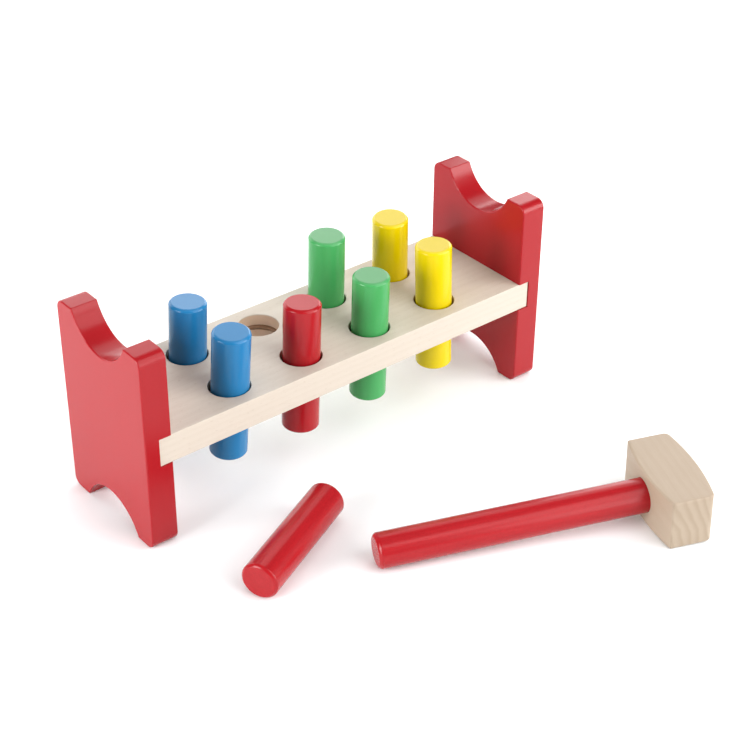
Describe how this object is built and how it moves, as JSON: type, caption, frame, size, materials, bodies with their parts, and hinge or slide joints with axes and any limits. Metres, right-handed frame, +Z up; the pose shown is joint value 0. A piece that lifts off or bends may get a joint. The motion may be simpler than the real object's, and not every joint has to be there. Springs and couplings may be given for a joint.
{
  "type": "toy workbench",
  "caption": "Wooden pounding bench: painted end panels, a plank with gripped holes, painted pegs and a mallet.",
  "frame": {"origin": "on the floor, under the middle of the box round the whole set, bench, loose peg and mallet together", "axes": "+X along the bench's length towards its right end, +Y towards the bench's back, +Z up"},
  "size_m": [0.29, 0.2706, 0.1252],
  "materials": {
    "natural_wood": "sanded and clear sealed, pale, satin",
    "dowel_wood": "plain, unfinished",
    "red_paint": "satin gloss paint on wood",
    "blue_paint": "satin gloss paint on wood",
    "green_paint": "satin gloss paint on wood",
    "yellow_paint": "satin gloss paint on wood",
    "grip_rubber": "matt brown rubber"
  },
  "bodies": {
    "bench": {"bench_plank": "natural_wood", "end_panel_left": "red_paint", "end_panel_right": "red_paint", "grip_ring_blue_front": "grip_rubber", "grip_ring_blue_back": "grip_rubber", "grip_ring_red_front": "grip_rubber", "grip_ring_red_back": "grip_rubber", "grip_ring_green_front": "grip_rubber", "grip_ring_green_back": "grip_rubber", "grip_ring_yellow_front": "grip_rubber", "grip_ring_yellow_back": "grip_rubber", "panel_dowel_left_front": "dowel_wood", "panel_dowel_left_back": "dowel_wood", "panel_dowel_right_front": "dowel_wood", "panel_dowel_right_back": "dowel_wood"},
    "peg_blue_front": {"peg_blue_front": "blue_paint"},
    "peg_blue_back": {"peg_blue_back": "blue_paint"},
    "peg_red_front": {"peg_red_front": "red_paint"},
    "peg_green_front": {"peg_green_front": "green_paint"},
    "peg_green_back": {"peg_green_back": "green_paint"},
    "peg_yellow_front": {"peg_yellow_front": "yellow_paint"},
    "peg_yellow_back": {"peg_yellow_back": "yellow_paint"},
    "peg_red_loose": {"peg_red_loose": "red_paint"},
    "mallet": {"mallet_head": "natural_wood", "mallet_handle": "red_paint"}
  },
  "joints": [
    {"name": "blue_front_peg_slide", "type": "slide", "parent": "bench", "child": "peg_blue_front", "axis": [0.0262, -0.0663, 0.9975], "range_m": [-0.0248, 0.0495]},
    {"name": "blue_back_peg_slide", "type": "slide", "parent": "bench", "child": "peg_blue_back", "axis": [0.0523, -0.0087, 0.9986], "range_m": [-0.0228, 0.0514]},
    {"name": "red_front_peg_slide", "type": "slide", "parent": "bench", "child": "peg_red_front", "axis": [0.0436, 0.0087, 0.999], "range_m": [-0.0229, 0.0512]},
    {"name": "green_front_peg_slide", "type": "slide", "parent": "bench", "child": "peg_green_front", "axis": [0.0087, -0.0262, 0.9996], "range_m": [-0.0239, 0.0501]},
    {"name": "green_back_peg_slide", "type": "slide", "parent": "bench", "child": "peg_green_back", "axis": [0, -0.0314, 0.9995], "range_m": [-0.0324, 0.0417]},
    {"name": "yellow_front_peg_slide", "type": "slide", "parent": "bench", "child": "peg_yellow_front", "axis": [-0.0175, 0.0175, 0.9997], "range_m": [-0.0265, 0.0476]},
    {"name": "yellow_back_peg_slide", "type": "slide", "parent": "bench", "child": "peg_yellow_back", "axis": [-0.0436, -0.0436, 0.9981], "range_m": [-0.0287, 0.0455]},
    {"name": "loose_peg_lift", "type": "slide", "parent": "bench", "child": "peg_red_loose", "axis": [0, 0, 1], "range_m": [0, 0.12]},
    {"name": "mallet_lift", "type": "slide", "parent": "bench", "child": "mallet", "axis": [0, 0, 1], "range_m": [0, 0.15]}
  ]
}
